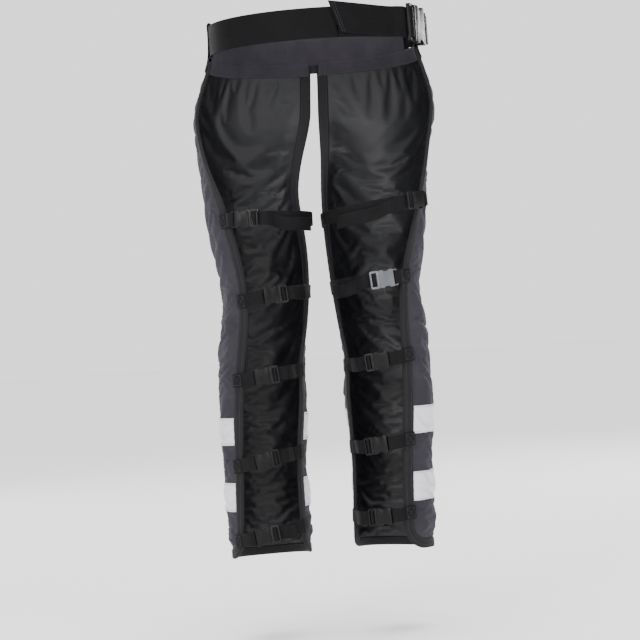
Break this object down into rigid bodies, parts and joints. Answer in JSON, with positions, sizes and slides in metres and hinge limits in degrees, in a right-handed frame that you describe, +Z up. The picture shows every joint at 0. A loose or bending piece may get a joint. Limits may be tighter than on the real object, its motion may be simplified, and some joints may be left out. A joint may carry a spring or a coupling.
{
  "type": "chainsaw chaps",
  "caption": "Chainsaw safety chaps in their worn shape: waist belt with side-release buckle, two padded leg panels with reflective bands, and clip straps round the backs of the legs.",
  "frame": {"origin": "centre of the waist, at the belt's mid-height", "axes": "+Z up, the wearer faces -Y, +X is the wearer's left"},
  "size_m": [0.4113, 0.2522, 0.9049],
  "materials": {
    "shell_cloth": "matt plain weave",
    "lining_cloth": "satin",
    "protective_felt": "matt",
    "binding_tape": "matt ribbed",
    "webbing": "ribbed",
    "reflective_tape": "retro-reflective, satin",
    "buckle_plastic": "satin moulded",
    "grey_buckle_plastic": "satin moulded"
  },
  "bodies": {
    "chaps": {"left_shell": "shell_cloth", "left_protective_pack": "protective_felt", "left_lining": "lining_cloth", "left_binding": "binding_tape", "left_reflective_band_1": "reflective_tape", "left_reflective_band_2": "reflective_tape", "left_strap_1": "webbing", "left_tab_1": "webbing", "left_socket_1": "buckle_plastic", "left_strap_2": "webbing", "left_tab_2": "webbing", "left_socket_2": "buckle_plastic", "left_strap_3": "webbing", "left_tab_3": "webbing", "left_socket_3": "buckle_plastic", "left_strap_4": "webbing", "left_tab_4": "webbing", "left_socket_4": "buckle_plastic", "left_strap_5": "webbing", "left_tab_5": "webbing", "left_socket_5": "buckle_plastic", "right_shell": "shell_cloth", "right_protective_pack": "protective_felt", "right_lining": "lining_cloth", "right_binding": "binding_tape", "right_reflective_band_1": "reflective_tape", "right_reflective_band_2": "reflective_tape", "right_strap_1": "webbing", "right_tab_1": "webbing", "right_socket_1": "buckle_plastic", "right_strap_2": "webbing", "right_tab_2": "webbing", "right_socket_2": "grey_buckle_plastic", "right_strap_3": "webbing", "right_tab_3": "webbing", "right_socket_3": "buckle_plastic", "right_strap_4": "webbing", "right_tab_4": "webbing", "right_socket_4": "buckle_plastic", "right_strap_5": "webbing", "right_tab_5": "webbing", "right_socket_5": "buckle_plastic", "belt_webbing": "webbing", "belt_socket_tab": "webbing", "belt_buckle_socket": "buckle_plastic", "belt_tail": "webbing", "front_waistband": "shell_cloth"},
    "left_plug_1": {"left_plug_1": "buckle_plastic"},
    "left_plug_2": {"left_plug_2": "buckle_plastic"},
    "left_plug_3": {"left_plug_3": "buckle_plastic"},
    "left_plug_4": {"left_plug_4": "buckle_plastic"},
    "left_plug_5": {"left_plug_5": "buckle_plastic"},
    "right_plug_1": {"right_plug_1": "buckle_plastic"},
    "right_plug_2": {"right_plug_2": "grey_buckle_plastic"},
    "right_plug_3": {"right_plug_3": "buckle_plastic"},
    "right_plug_4": {"right_plug_4": "buckle_plastic"},
    "right_plug_5": {"right_plug_5": "buckle_plastic"},
    "belt_plug": {"belt_buckle_plug": "buckle_plastic"},
    "belt_latch_upper": {"belt_latch_arm_upper": "buckle_plastic"},
    "belt_latch_lower": {"belt_latch_arm_lower": "buckle_plastic"}
  },
  "joints": [
    {"name": "left_clip_1_release", "type": "slide", "parent": "chaps", "child": "left_plug_1", "axis": [-0.9617, 0.2737, -0.0168], "range_m": [0, 0.026]},
    {"name": "left_clip_2_release", "type": "slide", "parent": "chaps", "child": "left_plug_2", "axis": [-0.979, -0.1852, 0.0856], "range_m": [0, 0.026]},
    {"name": "left_clip_3_release", "type": "slide", "parent": "chaps", "child": "left_plug_3", "axis": [-0.9911, -0.0825, 0.1042], "range_m": [0, 0.026]},
    {"name": "left_clip_4_release", "type": "slide", "parent": "chaps", "child": "left_plug_4", "axis": [-0.9878, -0.0494, 0.1476], "range_m": [0, 0.026]},
    {"name": "left_clip_5_release", "type": "slide", "parent": "chaps", "child": "left_plug_5", "axis": [-0.9867, 0.0682, 0.1475], "range_m": [0, 0.026]},
    {"name": "right_clip_1_release", "type": "slide", "parent": "chaps", "child": "right_plug_1", "axis": [0.6708, 0.7371, -0.0824], "range_m": [0, 0.026]},
    {"name": "right_clip_2_release", "type": "slide", "parent": "chaps", "child": "right_plug_2", "axis": [0.9786, 0.1869, -0.0856], "range_m": [0, 0.026]},
    {"name": "right_clip_3_release", "type": "slide", "parent": "chaps", "child": "right_plug_3", "axis": [0.978, -0.1814, -0.1028], "range_m": [0, 0.026]},
    {"name": "right_clip_4_release", "type": "slide", "parent": "chaps", "child": "right_plug_4", "axis": [0.9456, -0.3097, -0.0994], "range_m": [0, 0.026]},
    {"name": "right_clip_5_release", "type": "slide", "parent": "chaps", "child": "right_plug_5", "axis": [0.9564, -0.2876, -0.0501], "range_m": [0, 0.026]},
    {"name": "belt_clip_release", "type": "slide", "parent": "chaps", "child": "belt_plug", "axis": [0.3729, 0.9279, 0], "range_m": [0, 0.04]},
    {"name": "belt_latch_upper_press", "type": "hinge", "parent": "belt_plug", "child": "belt_latch_upper", "pos_m": [-0.16698, 0.04392, 0.0246], "axis": [-0.9279, 0.3729, 0], "range_deg": [0, 7], "stiffness_Nm_per_rad": 2},
    {"name": "belt_latch_lower_press", "type": "hinge", "parent": "belt_plug", "child": "belt_latch_lower", "pos_m": [-0.16698, 0.04392, -0.0246], "axis": [0.9279, -0.3729, 0], "range_deg": [0, 7], "stiffness_Nm_per_rad": 2}
  ]
}
